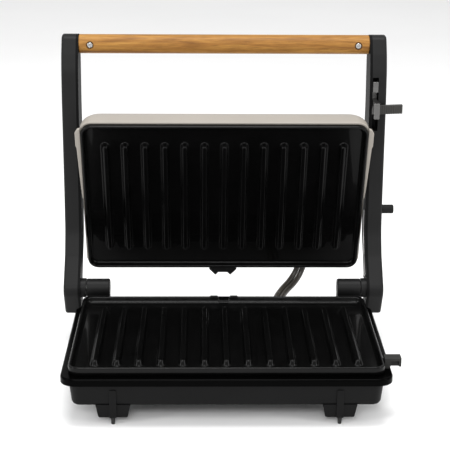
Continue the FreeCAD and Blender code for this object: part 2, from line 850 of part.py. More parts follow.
def cover_loft(label, inset, start):
    """Domed solid inside the cover's outline by inset, its lowest section at start."""
    body = doc.addObject("PartDesign::Body", label)
    sections = []
    for index, (level, half, front, back, corner) in enumerate(COVER_SECTIONS):
        section = new_sketch(body, "XY_Plane", level - inset if index else start)
        draw_block(section, half - inset, front + inset, back - inset, corner - inset)
        sections.append(section)
    loft("AdditiveLoft", body, sections, ruled=False)
    doc.recompute()
    return body


WING = [
    (119.6, -50.5),
    (122.0, -49.5),
    (124.0, -46.0),
    (124.0, -33.5),
    (123.2, -31.5),
    (121.7, 7.5),
    (121.0, 20.0),
    (119.6, 21.0),
]
WING_WEB = [(119.6, -45.0), (120.7, -45.0), (120.7, 20.0), (119.6, 20.0)]
wings = []
for side in MIRROR:
    wing = doc.addObject("PartDesign::Body", "cover_wing")
    for outline, thickness in ((WING, 2.2), (WING_WEB, 4.0)):
        flat = new_sketch(wing, "XY_Plane", -26.8)
        draw_outline(flat, [(side * u, v, 0) for u, v in outline])
        pad(wing, flat, thickness)
    wings.append(wing)
doc.recompute()
EXIT_X, EXIT_Z = 72.0, -12.0
SEAT_HALF = UPPER_HALF + 0.1
cover_cuts = [
    cover_loft("cover_inside", COVER_WALL, -25.0),
    block("plate_seat", (-SEAT_HALF, SEAT_HALF), (FRONT - 0.1, BACK + 1), (RIM - 1, plate_top + 0.1)),
    rod("cover_pin_hole", 4.6, (-125, 0, 0), (125, 0, 0)),
    block("cover_lead_hole", (EXIT_X - 6, EXIT_X + 6), (88, 100), (EXIT_Z - 3.6, EXIT_Z + 3.6)),
]
node(
    subtract(
        "lid_cover",
        fuse("cover_solid", cover_loft("cover_outside", 0.0, -24.2), *wings),
        fuse("cover_cuts", *cover_cuts),
    ),
    "lid_cover",
)

frame_parts = [
    subtract(
        "frame_ring",
        block("frame_outer", (-115.0, 115.0), (-49.0, 90.0), (plate_top, plate_top + 3.0)),
        block("frame_opening", (-99.0, 99.0), (-40.0, 80.0), (plate_top - 1, plate_top + 4.0)),
    )
]
for side in MIRROR:
    span = sorted((side * 99.0, side * 107.0))
    frame_parts.append(block("frame_post", span, (-6.5, 6.5), (plate_top + 2.0, 0.0)))
    frame_parts.append(rod("frame_eye", 6.5, (span[0], 0, 0), (span[1], 0, 0)))
frame_bore = rod("frame_bore", dim("pivot_pin_radius") + gap, (-120, 0, 0), (120, 0, 0))
node(subtract("lid_frame", fuse("frame_solid", *frame_parts), frame_bore), "lid_frame")

element_level = plate_top + ELEMENT_RADIUS + CONTACT
shape_node("upper_element", tube(element_path(84.0, -28.0, 68.0, element_level), ELEMENT_RADIUS))
tray_sheet("upper_reflector", 98.0, -38.0, 78.0, plate_top + CONTACT, -13.0, opens_up=False)
FUSE_LEVEL = plate_top + 3.0 + CONTACT
node(
    fuse(
        "thermal_fuse",
        rod("fuse_sleeve", 3.0, (-14, 20, FUSE_LEVEL), (14, 20, FUSE_LEVEL)),
        rod("fuse_wires", 0.8, (-22, 20, FUSE_LEVEL), (22, 20, FUSE_LEVEL)),
    ),
    "thermal_fuse",
)
lead_bush("lid_lead_bush", EXIT_X, 96.9, EXIT_Z)
doc.recompute()
for part in NODES[first_lid_node:]:
    part.Placement = lid_place

# ---------------------------------------------------------------- lead between base and lid
STRAND, SPREAD = 2.4, 2.45
leave = lid_place.multVec(Vector(EXIT_X, 92.0, EXIT_Z))
below = lid_place.multVec(Vector(EXIT_X, 114.0, EXIT_Z))
strands = [
    tube(
        [
            (leave.x + shift, leave.y, leave.z, 0),
            (below.x + shift, below.y, below.z, 16.0),
            (LEAD_X + shift, 116.0, LEAD_Z, 16.0),
            (LEAD_X + shift, 81.0, LEAD_Z, 0),
        ],
        STRAND,
    )
    for shift in (-SPREAD, SPREAD)
]
shape_node("link_lead", Part.makeCompound(strands))

# ---------------------------------------------------------------- checks and export
doc.recompute()
for feature in doc.Objects:
    bad = [state for state in feature.State if state in ("Invalid", "Error")]
    if bad:
        raise RuntimeError(f"{feature.Label}: {bad}")
for part in NODES:
    if part.Shape.isNull() or not part.Shape.isValid() or not part.Shape.Solids:
        raise RuntimeError(f"{part.Label}: null or invalid shape")
    part.Shape.exportStep(os.path.join("parts", part.Label + ".step"))
    b = part.Shape.BoundBox
    print(
        f"{part.Label:24s} {len(part.Shape.Solids)} solids {part.Shape.Volume / 1000:8.2f} cm3"
        f"  X {b.XMin:.1f}..{b.XMax:.1f} Y {b.YMin:.1f}..{b.YMax:.1f} Z {b.ZMin:.1f}..{b.ZMax:.1f}"
    )
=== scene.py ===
"""Panini press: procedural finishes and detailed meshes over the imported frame."""
import math

import bmesh
import bpy
from mathutils import Matrix, Vector


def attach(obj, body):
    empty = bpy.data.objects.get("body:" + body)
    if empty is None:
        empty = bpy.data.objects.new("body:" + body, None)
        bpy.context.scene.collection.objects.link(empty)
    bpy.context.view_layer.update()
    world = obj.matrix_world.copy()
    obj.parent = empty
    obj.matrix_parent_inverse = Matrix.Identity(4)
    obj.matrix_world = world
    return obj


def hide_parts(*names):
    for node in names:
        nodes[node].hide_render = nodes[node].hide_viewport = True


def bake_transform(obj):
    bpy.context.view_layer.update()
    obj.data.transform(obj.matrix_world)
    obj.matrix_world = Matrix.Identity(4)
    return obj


MM = 0.001
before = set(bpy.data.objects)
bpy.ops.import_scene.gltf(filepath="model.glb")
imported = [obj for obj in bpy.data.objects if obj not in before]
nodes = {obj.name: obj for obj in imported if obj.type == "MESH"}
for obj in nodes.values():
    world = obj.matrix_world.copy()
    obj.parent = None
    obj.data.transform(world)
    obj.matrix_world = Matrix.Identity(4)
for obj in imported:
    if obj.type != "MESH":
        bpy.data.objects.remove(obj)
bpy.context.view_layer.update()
scene = bpy.context.scene


# ---------------------------------------------------------------- camera, floor and light
LENS, SENSOR = 104.0, 36.0
CAMERA_PLACE = (-0.0189, -0.9630, 0.4495)
CAMERA_TURNS = ((-1.08, "Z"), (71.82, "X"), (0.39, "Z"))  # heading, tilt and roll in degrees
camera_data = bpy.data.cameras.new("camera")
camera_data.lens, camera_data.sensor_width = LENS, SENSOR
camera_data.clip_start, camera_data.clip_end = 0.05, 50.0
camera = bpy.data.objects.new("camera", camera_data)
camera.location = CAMERA_PLACE
heading, tilt, roll = (Matrix.Rotation(math.radians(angle), 3, axis) for angle, axis in CAMERA_TURNS)
camera.rotation_euler = (heading @ tilt @ roll).to_euler()
scene.collection.objects.link(camera)
scene.camera = camera

world = bpy.data.worlds.new("studio")
world.use_nodes = True
background = world.node_tree.nodes["Background"]
background.inputs["Color"].default_value = (1.0, 1.0, 1.0, 1.0)
background.inputs["Strength"].default_value = 0.80
scene.world = world
scene.view_settings.view_transform = "Standard"


def softbox(name, location, target, width, height, power):
    """Rectangular area light in metres and watts at location, facing target."""
    light = bpy.data.lights.new(name, "AREA")
    light.shape, light.size, light.size_y, light.energy = "RECTANGLE", width, height, power
    lamp = bpy.data.objects.new(name, light)
    lamp.location = location
    lamp.rotation_euler = (Vector(target) - Vector(location)).to_track_quat("-Z", "Y").to_euler()
    scene.collection.objects.link(lamp)


softbox("top_softbox", (0.0, -0.10, 1.5), (0, 0.0, 0), 0.9, 0.5, 17.0)
softbox("left_softbox", (-1.3, -0.6, 0.7), (0, 0.05, 0.12), 0.3, 0.9, 7.0)
softbox("right_softbox", (1.3, -0.6, 0.7), (0, 0.05, 0.12), 0.3, 0.9, 6.5)
softbox("front_softbox", (-0.2, -1.9, 1.4), (0, -0.15, 0.0), 0.9, 0.5, 15.0)


# ---------------------------------------------------------------- materials
class Finish:
    """A Principled material with helpers for its procedural nodes."""

    def __init__(self, name, roughness=0.5, metallic=0.0, specular=0.5, coat=0.0, coat_roughness=0.1):
        self.material = bpy.data.materials.new(name)
        self.material.use_nodes = True
        self.tree = self.material.node_tree
        self.shader = self.tree.nodes["Principled BSDF"]
        self.shader.inputs["Roughness"].default_value = roughness
        self.shader.inputs["Metallic"].default_value = metallic
        self.shader.inputs["Specular IOR Level"].default_value = specular
        self.shader.inputs["Coat Weight"].default_value = coat
        self.shader.inputs["Coat Roughness"].default_value = coat_roughness
        self.place = self.new("ShaderNodeTexCoord").outputs["Object"]

    def new(self, kind, **inputs):
        node = self.tree.nodes.new(kind)
        for name, value in inputs.items():
            self.put(node.inputs[name.replace("_", " ")], value)
        return node

    def put(self, socket, value):
        if isinstance(value, bpy.types.NodeSocket):
            self.tree.links.new(value, socket)
        else:
            socket.default_value = value

    def stretched(self, x, y, z):
        """Object coordinates scaled along each axis."""
        return self.new("ShaderNodeMapping", Vector=self.place, Scale=(x, y, z)).outputs["Vector"]

    def noise(self, scale, detail=3.0, place=None, distortion=0.0, roughness=0.5):
        node = self.new("ShaderNodeTexNoise", Vector=place or self.place, Scale=scale, Detail=detail)
        node.inputs["Distortion"].default_value = distortion
        node.inputs["Roughness"].default_value = roughness
        return node.outputs["Fac"]

    def ramp(self, value, *stops):
        """Colour ramp through (position, colour) stops; a colour may be one grey level."""
        node = self.new("ShaderNodeValToRGB", Fac=value)
        elements = node.color_ramp.elements
        while len(elements) < len(stops):
            elements.new(0.5)
        for element, (position, colour) in zip(elements, stops):
            element.position = position
            rgb = colour if isinstance(colour, tuple) else (colour,) * 3
            element.color = (*rgb, 1.0)
        return node.outputs["Color"]

    def span(self, value, low, high):
        """Maps 0..1 to low..high."""
        return self.new("ShaderNodeMapRange", Value=value, To_Min=low, To_Max=high).outputs["Result"]

    def mix(self, factor, a, b, mode="MIX"):
        node = self.tree.nodes.new("ShaderNodeMix")
        node.data_type, node.blend_type = "RGBA", mode
        for socket, value in ((node.inputs[0], factor), (node.inputs[6], a), (node.inputs[7], b)):
            self.put(socket, (*value, 1.0) if isinstance(value, tuple) and len(value) == 3 else value)
        return node.outputs[2]

    def edges(self, radius, low=0.01, high=0.12):
        """Mask that is 1 on edges of about that radius, in metres."""
        bevel = self.new("ShaderNodeBevel", Radius=radius)
        bevel.samples = 4
        flat = self.new("ShaderNodeNewGeometry").outputs["Normal"]
        dot = self.tree.nodes.new("ShaderNodeVectorMath")
        dot.operation = "DOT_PRODUCT"
        self.put(dot.inputs[0], bevel.outputs["Normal"])
        self.put(dot.inputs[1], flat)
        node = self.new("ShaderNodeMapRange", Value=dot.outputs["Value"])
        node.inputs["From Min"].default_value = 1.0 - low
        node.inputs["From Max"].default_value = 1.0 - high
        return node.outputs["Result"]

    def bump(self, height, strength, distance, after=None):
        node = self.new("ShaderNodeBump", Height=height, Strength=strength, Distance=distance)
        if after:
            self.put(node.inputs["Normal"], after)
        return node.outputs["Normal"]

    def wear(self, *outputs):
        """Sets the shader's colour, roughness and normal; None leaves one alone."""
        for name, value in zip(("Base Color", "Roughness", "Normal"), outputs):
            if value is not None:
                self.put(self.shader.inputs[name], value)
        return self.material


def moulded(name, colour, roughness, grain=2600.0, depth=0.00006, specular=0.5, worn=1.6, spread=0.05):
    """Moulded plastic: fine spark-eroded grain, slow blotches and slightly rubbed edges."""
    f = Finish(name, specular=specular)
    cloud = f.noise(26.0, 4.0)
    grainy = f.noise(grain, 2.0)
    light = tuple(min(1.0, c * 1.14) for c in colour)
    dark = tuple(c * 0.88 for c in colour)
    rubbed = tuple(min(1.0, c * worn) for c in colour)
    tone = f.ramp(cloud, (0.3, dark), (0.7, light))
    tone = f.mix(f.span(grainy, 0.0, 0.25), tone, light)
    tone = f.mix(f.edges(0.0007), tone, rubbed)
    rough = f.span(f.noise(60.0, 5.0), roughness - spread, roughness + spread)
    normal = f.bump(grainy, 0.35, depth, f.bump(cloud, 0.12, 0.0002))
    return f.wear(tone, rough, normal)


def coated_pan():
    """Glossy black non-stick coating over cast metal, with fine speckle, orange peel and a painted highlight
    along its edges.
    """
    f = Finish("nonstick_coating", specular=0.05, coat=0.19, coat_roughness=0.035)
    speck = f.new("ShaderNodeTexVoronoi", Vector=f.place, Scale=1500.0).outputs["Distance"]
    fleck = f.ramp(speck, (0.05, 0.012), (0.14, 0.0))
    cloud = f.noise(40.0, 4.0)
    tone = f.mix(1.0, f.ramp(cloud, (0.3, 0.0014), (0.75, 0.0024)), fleck, "ADD")
    # Painted highlight: the edges of the rim and the ridges are given a lighter colour.
    tone = f.mix(f.edges(0.0006), tone, (0.006, 0.006, 0.006))
    rough = f.span(f.noise(180.0, 5.0), 0.16, 0.24)
    peel = f.noise(700.0, 2.0)
    return f.wear(tone, rough, f.bump(peel, 0.08, 0.0001, f.bump(cloud, 0.05, 0.0002)))


def oiled_wood():
    """Honey-brown wood with grain and pores along the bar."""
    f = Finish("oiled_wood", specular=0.16)
    bend = f.noise(9.0, 3.0)
    along = f.stretched(4.0, 55.0, 55.0)
    streak = f.noise(2.4, 6.0, along, distortion=0.9, roughness=0.62)
    fine = f.noise(11.0, 4.0, f.stretched(9.0, 210.0, 210.0), roughness=0.6)
    tone = f.ramp(
        streak,
        (0.30, (0.085, 0.032, 0.007)),
        (0.44, (0.225, 0.100, 0.022)),
        (0.58, (0.350, 0.175, 0.040)),
        (0.74, (0.450, 0.250, 0.070)),
    )
    pore = f.ramp(fine, (0.36, 0.55), (0.52, 1.0))
    tone = f.mix(0.75, tone, pore, "MULTIPLY")
    tone = f.mix(f.span(bend, 0.0, 0.35), tone, (0.255, 0.108, 0.022))
    tone = f.mix(f.edges(0.0012), tone, (0.11, 0.050, 0.017))
    rough = f.span(fine, 0.36, 0.58)
    return f.wear(tone, rough, f.bump(fine, 0.30, 0.00012, f.bump(streak, 0.20, 0.0003)))


def metal(name, colour, roughness, brush=(40.0, 40.0, 900.0), depth=0.00004, worn=1.25):
    """Brushed or drawn metal; brush is how tightly the lines repeat along each axis."""
    f = Finish(name, metallic=1.0)
    line = f.noise(1.6, 5.0, f.stretched(*brush))
    stain = f.noise(70.0, 4.0)
    low = tuple(c * 0.72 for c in colour)
    tone = f.ramp(stain, (0.3, low), (0.65, colour))
    tone = f.mix(f.edges(0.0005), tone, tuple(min(1.0, c * worn) for c in colour))
    rough = f.span(line, roughness - 0.08, roughness + 0.1)
    return f.wear(tone, rough, f.bump(line, 0.25, depth))


def satin_cover():
    """Cream satin lacquer with a fine texture and faint handling marks."""
    f = Finish("cream_lacquer", specular=0.20, coat=0.05, coat_roughness=0.2)
    cloud = f.noise(14.0, 4.0)
    grainy = f.noise(1900.0, 3.0)
    tone = f.ramp(cloud, (0.3, (0.270, 0.248, 0.219)), (0.7, (0.300, 0.276, 0.246)))
    tone = f.mix(f.span(grainy, 0.0, 0.18), tone, (0.325, 0.301, 0.270))
    tone = f.mix(f.edges(0.0009, 0.02, 0.3), tone, (0.34, 0.318, 0.288))
    smear = f.noise(5.0, 5.0, f.stretched(9.0, 30.0, 30.0), distortion=1.2)
    rough = f.span(smear, 0.36, 0.50)
    return f.wear(tone, rough, f.bump(grainy, 0.22, 0.00005, f.bump(cloud, 0.06, 0.0005)))


def sleeve():
    """Smooth rubber sheath of the lead with fine grain."""
    f = Finish("lead_sheath", specular=0.6)
    cloud = f.noise(90.0, 4.0)
    fine = f.noise(2200.0, 2.0)
    tone = f.ramp(cloud, (0.3, (0.028, 0.024, 0.019)), (0.7, (0.050, 0.043, 0.034)))
    rough = f.span(fine, 0.24, 0.40)
    return f.wear(tone, rough, f.bump(fine, 0.2, 0.00005, f.bump(cloud, 0.1, 0.0002)))


def ceramic():
    """Unglazed steatite of the terminal block and the fuse's sleeve."""
    f = Finish("steatite", specular=0.4)
    cloud = f.noise(120.0, 5.0)
    tone = f.ramp(cloud, (0.3, (0.66, 0.64, 0.58)), (0.7, (0.78, 0.77, 0.72)))
    tone = f.mix(f.edges(0.0006), tone, (0.85, 0.84, 0.80))
    return f.wear(tone, f.span(cloud, 0.55, 0.75), f.bump(f.noise(1500.0), 0.3, 0.00008))


BLACK = moulded("black_plastic", (0.0065, 0.0065, 0.0066), 0.48, specular=0.15, worn=1.9)
# Painted shade: the housing takes a darker copy of the black plastic, to offset the front softbox that lights
# its front.
HOUSING_PAINTED_SHADE = moulded("housing_plastic_painted_shade", (0.0042, 0.0042, 0.0043), 0.46, specular=0.09, worn=1.8)
BEZEL = moulded("bezel_plastic", (0.0005, 0.0005, 0.0005), 0.20, 1500.0, 0.00002, 0.022, 1.6, 0.04)
GREY = moulded("grey_plastic", (0.033, 0.032, 0.030), 0.52, specular=0.2, worn=1.5)
# Painted shade: the catch takes a darker copy of the lever's grey plastic, to offset the top softbox that
# lights it from above.
CATCH_PAINTED_SHADE = moulded("catch_grey_painted_shade", (0.022, 0.022, 0.021), 0.56, 1400.0, 0.00012, 0.12, 1.6)
# Painted shade: the arms' inner covers take a darker copy of the black plastic, standing in for the shade in
# that recess.
INNER_PAINTED_SHADE = moulded("inner_black_painted_shade", (0.0026, 0.0026, 0.0027), 0.50, specular=0.06, worn=1.8)
RUBBER = moulded("rubber", (0.012, 0.012, 0.012), 0.66, 3200.0, 0.00008, 0.35, 1.5)
PAN, WOOD, COVER, SHEATH, STEATITE = coated_pan(), oiled_wood(), satin_cover(), sleeve(), ceramic()
BRIGHT = metal("zinc_steel", (0.42, 0.415, 0.41), 0.30)
DULL = metal("dull_steel", (0.150, 0.148, 0.145), 0.38, worn=1.7)
SHEET = metal("sheet_metal", (0.70, 0.70, 0.70), 0.34, (300.0, 20.0, 300.0))
HEATER = metal("oxidised_sheath", (0.14, 0.125, 0.11), 0.42, (60.0, 60.0, 60.0))


# ---------------------------------------------------------------- mesh helpers
SAME_POINT, WELD_GAP = 2e-6, 3e-6  # metres
SHARP_ANGLE = 32.0  # degrees between faces, above which an edge is rounded


def placed(bm, name, material, body, replaced=()):
    """Object from a bmesh in metres, riding on a body in place of CAD nodes."""
    mesh = bpy.data.meshes.new(name)
    bmesh.ops.remove_doubles(bm, verts=bm.verts, dist=SAME_POINT)
    bmesh.ops.recalc_face_normals(bm, faces=bm.faces)
    bm.to_mesh(mesh)
    bm.free()
    for polygon in mesh.polygons:
        polygon.use_smooth = True
    mesh.materials.append(material)
    obj = bpy.data.objects.new(name, mesh)
    scene.collection.objects.link(obj)
    if body:
        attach(obj, body)
    if replaced:
        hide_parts(*replaced)
    return obj


def rounded(obj, width, segments=3):
    """Welds the mesh, rounds its sharp edges and evens its shading."""
    weld = obj.modifiers.new("weld", "WELD")
    weld.merge_threshold = WELD_GAP
    bevel = obj.modifiers.new("bevel", "BEVEL")
    bevel.width, bevel.segments = width, segments
    bevel.limit_method, bevel.angle_limit = "ANGLE", math.radians(SHARP_ANGLE)
    bevel.harden_normals = False
    bevel.use_clamp_overlap = True
    normals = obj.modifiers.new("normals", "WEIGHTED_NORMAL")
    normals.keep_sharp, normals.weight = True, 60
    return obj


def keep(name, material, width=0.0004, segments=2):
    """CAD node kept as it is, with a finish and softly rounded edges."""
    obj = nodes[name]
    obj.data.materials.clear()
    obj.data.materials.append(material)
    if "custom_normal" in obj.data.attributes:
        obj.data.attributes.remove(obj.data.attributes["custom_normal"])
    for polygon in obj.data.polygons:
        polygon.use_smooth = True
    return rounded(obj, width, segments)


def bridge(bm, ring_a, ring_b, closed=True):
    """Faces between two rows of vertices, without the sides that have no length."""
    count = len(ring_a)
    for i in range(count if closed else count - 1):
        j = (i + 1) % count
        quad = [ring_a[i], ring_a[j], ring_b[j], ring_b[i]]
        distinct = []
        for vertex in quad:
            if all((vertex.co - other.co).length > 1e-9 for other in distinct):
                distinct.append(vertex)
        if len(distinct) > 2:
            bm.faces.new(distinct)


def lathe(profile, start, direction, segments):
    """Turned solid: profile is (distance along, radius) in mm, from start along direction."""
    bm = bmesh.new()
    axis = Vector(direction).normalized()
    side = axis.orthogonal().normalized()
    up = axis.cross(side)
    rings = []
    for along, radius in profile:
        centre = Vector(start) + axis * along
        ring = []
        for i in range(segments):
            a = 2 * math.pi * i / segments
            ring.append(bm.verts.new((centre + (side * math.cos(a) + up * math.sin(a)) * radius) * MM))
        rings.append(ring)
    for a, b in zip(rings, rings[1:]):
        bridge(bm, a, b)
    bm.faces.new(rings[0])
    bm.faces.new(rings[-1])
    return bm


def round_end(radius, fillet, at, sign, steps=5):
    """Profile points of a rounded end at a distance along, sign -1 for a start, 1 for an end."""
    points = []
    for i in range(steps + 1):
        a = math.pi / 2 * i / steps
        points.append((at - sign * fillet * (1 - math.sin(a)), radius - fillet * (1 - math.cos(a))))
    return points if sign > 0 else points[::-1]


def capped(radius, length, fillet_a, fillet_b):
    """Profile of a rod with rounded ends."""
    return round_end(radius, fillet_a, 0.0, -1) + round_end(radius, fillet_b, length, 1)


def carve(obj, cutter, operation="DIFFERENCE"):
    """Cuts one mesh object out of another, or joins it, and removes the tool."""
    tool = obj.modifiers.new("carve", "BOOLEAN")
    tool.operation, tool.solver, tool.object = operation, "EXACT", cutter
    bpy.context.view_layer.update()
    done = bpy.data.meshes.new_from_object(obj.evaluated_get(bpy.context.evaluated_depsgraph_get()))
    obj.modifiers.remove(tool)
    obj.data = done
    bpy.data.objects.remove(cutter)
    return obj


def polygon_prism(points, low, high):
    """Prism in mm over an (x, y) polygon between two levels."""
    bm = bmesh.new()
    bottom = [bm.verts.new((x * MM, y * MM, low * MM)) for x, y in points]
    top = [bm.verts.new((x * MM, y * MM, high * MM)) for x, y in points]
    bridge(bm, bottom, top)
    bm.faces.new(bottom)
    bm.faces.new(top)
    return bm


def block(centre, size, bm=None):
    """Block in mm about a centre."""
    bm = bm or bmesh.new()
    for vertex in bmesh.ops.create_cube(bm, size=1.0)["verts"]:
        vertex.co = Vector([c + s * along for c, s, along in zip(centre, size, vertex.co)]) * MM
    return bm


def box(low, high):
    """Block in mm between two corners."""
    return block([(a + b) / 2 for a, b in zip(low, high)], [b - a for a, b in zip(low, high)])


def smooth_step(t):
    """Eased step from 0 to 1."""
    t = min(1.0, max(0.0, t))
    return t * t * (3 - 2 * t)


# ---------------------------------------------------------------- grill plates
PITCH, COUNT, RIDGE_LENGTH, RIDGE_HEIGHT = 16.6, 13, 112.0, 4.3
THICKNESS, WELL = 6.5, 4.5
DRAFT = 0.992  # the underside's outline against the rim's
CENTRES = [PITCH * (i - (COUNT - 1) / 2) for i in range(COUNT)]
RIM_PROFILE = [  # distance inward from the edge, drop below the rim's face
    (0.0, 6.5), (0.0, 4.6), (0.0, 2.4), (0.0, 1.0), (0.10, 0.55), (0.32, 0.22), (0.65, 0.05), (1.0, 0.0),
    (1.6, 0.0), (1.95, 0.05), (2.25, 0.22), (2.45, 0.55), (2.6, 1.1), (2.8, 2.2), (3.05, 3.2), (3.4, 3.9),
    (3.9, 4.3), (4.6, 4.47), (5.4, 4.5),
]


def ridge_rise(x, y, front):
    """Height of the ridge surface above the well."""
    centre = min(CENTRES, key=lambda c: abs(c - x))
    core_low, core_high = front + 3.3, front + RIDGE_LENGTH - 3.3
    beyond = max(core_low - y, 0.0, y - core_high)
    away = math.hypot(x - centre, beyond)
    crown = 0.12 * min(1.0, (away / 1.6) ** 2)
    return (RIDGE_HEIGHT - crown) * (1 - smooth_step((away - 1.45) / 2.15))


def grill_plate(half, front, back, corner, ridge_front, detail=None, columns=()):
    """Bmesh of a ribbed plate facing +Z, its rim's face at zero.

    detail(x, y, inward, level) gives the level of a rim point, columns are extra lines along Y.
    """
    bm = bmesh.new()
    inner_x, inner_y0, inner_y1 = half - corner, front + corner, back - corner
    steps = [-4.4, -3.75, -3.4, -3.1, -2.8, -2.5, -2.2, -1.9, -1.6, -1.1, -0.5]
    steps += [0.0] + [-s for s in reversed(steps)]
    xs = sorted({round(c + s, 4) for c in CENTRES for s in steps} | {-inner_x, inner_x} | set(columns))
    ends = [-0.8, -0.35, 0.0, 0.3, 0.6, 0.9, 1.2, 1.5, 1.8, 2.2, 2.7, 3.3, 4.2]
    middle = [ridge_front + RIDGE_LENGTH * k / 14 for k in range(1, 14)]
    ys = {ridge_front + e for e in ends} | {ridge_front + RIDGE_LENGTH - e for e in ends}
    ys = sorted(ys | set(middle) | {inner_y0, inner_y1})
    grid = [[bm.verts.new((x, y, ridge_rise(x, y, ridge_front) - WELL)) for x in xs] for y in ys]
    for row, next_row in zip(grid, grid[1:]):
        bridge(bm, row, next_row, closed=False)
    turn = 8  # steps in a corner
    path = [((x, inner_y0), (0.0, -1.0)) for x in xs]  # (corner centre or side foot, outward direction)
    arcs = (
        ((inner_x, inner_y0), 270),
        ((inner_x, inner_y1), 0),
        ((-inner_x, inner_y1), 90),
        ((-inner_x, inner_y0), 180),
    )

    def arc(index):
        """Corner points between the straight sides."""
        centre, start = arcs[index]
        angles = [math.radians(start + 90 * k / turn) for k in range(1, turn)]
        return [(centre, (math.cos(a), math.sin(a))) for a in angles]

    path += arc(0) + [((inner_x, y), (1.0, 0.0)) for y in ys]
    path += arc(1) + [((x, inner_y1), (0.0, 1.0)) for x in reversed(xs)]
    path += arc(2) + [((-inner_x, y), (-1.0, 0.0)) for y in reversed(ys)] + arc(3)
    rings = []
    for inward, drop in RIM_PROFILE + [(corner, WELL)]:
        ring = []
        for (fx, fy), (dx, dy) in path:
            reach = corner - inward
            x, y = fx + dx * reach, fy + dy * reach
            level = detail(x, y, inward, -drop) if detail else -drop
            ring.append(bm.verts.new((x, y, level)))
        rings.append(ring)
    for a, b in zip(rings, rings[1:]):
        bridge(bm, a, b)
    under = [bm.verts.new((v.co.x * DRAFT, v.co.y * DRAFT, -THICKNESS)) for v in rings[0]]
    bridge(bm, rings[0], under)
    bm.faces.new(under)
    return bm


def to_frame(bm, matrix):
    """Scales a bmesh in mm to metres and places it."""
    bmesh.ops.transform(bm, matrix=matrix @ Matrix.Scale(MM, 4), verts=bm.verts)
    return bm


RIM_LEVEL = 46.5


def lower_detail(x, y, inward, level):
    """Drain notch and its two prongs in the back rim."""
    if y > 60 and inward < 5.0:
        prong = smooth_step((3.6 - abs(abs(x) - 8.3)) / 0.7)
        notch = smooth_step((4.9 - abs(x)) / 0.7)
        level += 0.9 * prong if level > -1.2 else 0.0
        level = level * (1 - notch) + min(level, -3.0) * notch
    return level


NOTCH_STEPS = (4.05, 4.55, 4.9, 5.2, 5.6, 8.3, 11.0, 11.4, 11.9)
NOTCH_COLUMNS = [side * x for side in (-1, 1) for x in NOTCH_STEPS]
bm = grill_plate(119.0, -77.0, 70.0, 8.0, -64.0, lower_detail, NOTCH_COLUMNS)
placed(
    to_frame(bm, Matrix.Translation((0, 0, RIM_LEVEL * MM))),
    "lower_plate_casting", PAN, "base", ["lower_grill_plate"],
)

PIVOT_Y, PIVOT_Z, OPEN_ANGLE = 122.2, 150.8, 71.0
LID = Matrix.Translation((0, PIVOT_Y * MM, PIVOT_Z * MM)) @ Matrix.Rotation(-math.radians(OPEN_ANGLE), 4, "X")
LID_RIM, LID_FRONT, LID_BACK = -28.0, -53.8, 95.7
flip = Matrix.Diagonal((1, 1, -1, 1))
bm = grill_plate(119.4, LID_FRONT, LID_BACK, 9.0, -35.0)
placed(
    to_frame(bm, LID @ Matrix.Translation((0, 0, LID_RIM * MM)) @ flip),
    "upper_plate_casting", PAN, "lid", ["upper_grill_plate"],
)
TAB = [
    (-11.0, -2.0), (11.0, -2.0), (12.4, 1.5), (6.6, 8.4),
    (4.0, 5.2), (-4.0, 5.2), (-6.6, 8.4), (-12.4, 1.5),
]
bm = polygon_prism([(x, LID_BACK + y) for x, y in TAB], LID_RIM, LID_RIM + 4.0)
bmesh.ops.transform(bm, matrix=LID, verts=bm.verts)
rounded(placed(bm, "upper_plate_spout", PAN, "lid"), 0.0007)


# ---------------------------------------------------------------- lid cover
COVER_SECTIONS = [  # level, half width, front, back, corner
    (-24.2, 120.7, -55.3, 95.9, 10.0),
    (-12.0, 119.9, -54.2, 95.5, 11.0),
    (-2.0, 117.6, -50.0, 92.5, 14.0),
    (9.0, 113.5, -41.0, 87.0, 18.0),
    (14.0, 104.0, -30.0, 77.0, 22.0),
]


def catmull(values, position):
    """Smooth value through a list, position counted in list steps."""
    i = min(int(position), len(values) - 2)
    t = position - i
    p1, p2 = values[i], values[i + 1]
    p0 = values[i - 1] if i else 2 * p1 - p2
    p3 = values[i + 2] if i + 2 < len(values) else 2 * p2 - p1
    linear, square, cube = p2 - p0, 2 * p0 - 5 * p1 + 4 * p2 - p3, 3 * p1 - p0 - 3 * p2 + p3
    return 0.5 * (2 * p1 + linear * t + square * t**2 + cube * t**3)


def cover_ring(bm, level, half, front, back, corner, turn=12, side=10):
    """Ring of vertices with rounded corners; turn and side count the steps in each."""
    points = []
    for cx, cy, start in (
        (half - corner, front + corner, 270), (half - corner, back - corner, 0),
        (-half + corner, back - corner, 90), (-half + corner, front + corner, 180),
    ):
        for k in range(turn + 1):
            a = math.radians(start + 90 * k / turn)
            points.append((cx + corner * math.cos(a), cy + corner * math.sin(a)))
    dense = []
    for i, (x, y) in enumerate(points):
        nx, ny = points[(i + 1) % len(points)]
        dense.append((x, y))
        if i % (turn + 1) == turn:
            dense += [(x + (nx - x) * k / side, y + (ny - y) * k / side) for k in range(1, side)]
    return [bm.verts.new((x, y, level)) for x, y in dense]


